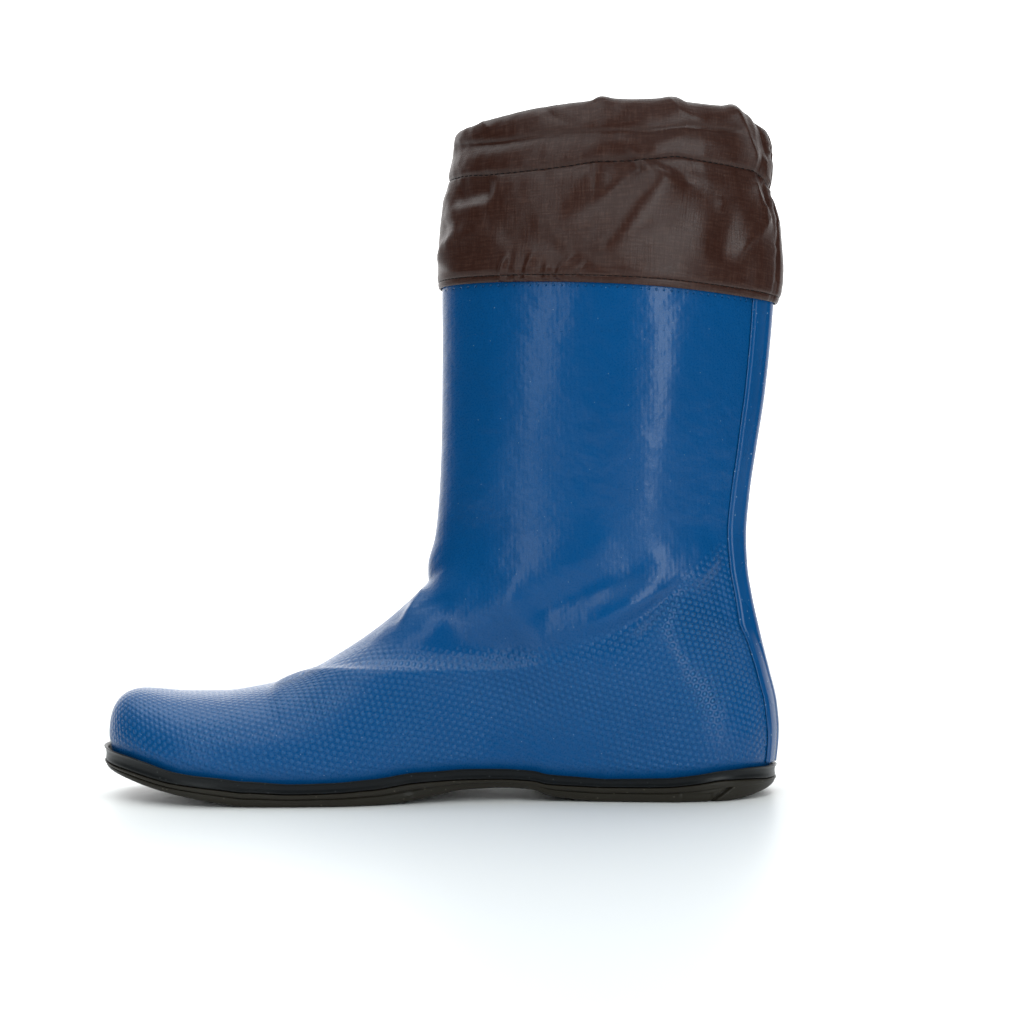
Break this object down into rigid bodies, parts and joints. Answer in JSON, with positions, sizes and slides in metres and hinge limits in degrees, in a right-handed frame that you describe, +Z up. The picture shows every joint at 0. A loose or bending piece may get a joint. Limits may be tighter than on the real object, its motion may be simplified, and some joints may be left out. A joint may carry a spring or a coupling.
{
  "type": "rubber boot",
  "caption": "Folding rubber rain boot, right foot: thin embossed blue upper, gathered brown cloth cuff with a drawn casing, black foxing and a low brown tread.",
  "frame": {"origin": "middle of the whole boot's box, on the floor that the sole stands on", "axes": "+Z up along the leg, toe towards -X, heel towards +X, inner side of the right foot towards -Y, outer side towards +Y"},
  "size_m": [0.2692, 0.0954, 0.2687],
  "materials": {
    "embossed_rubber": "blue rubber sheet, fine raised diamond grain, soft gloss",
    "tape_rubber": "smooth blue rubber tape, soft gloss",
    "cuff_cloth": "dark brown plain-weave nylon with a satin sheen",
    "foxing_rubber": "black rubber, semi-matt",
    "tread_rubber": "dark taupe moulded rubber, matt",
    "insole_cloth": "dark knit over foam, matt"
  },
  "bodies": {
    "root": {"upper": "embossed_rubber", "back_tape": "tape_rubber", "cuff": "cuff_cloth", "foxing": "foxing_rubber", "outsole": "tread_rubber", "insole": "insole_cloth"}
  },
  "joints": []
}
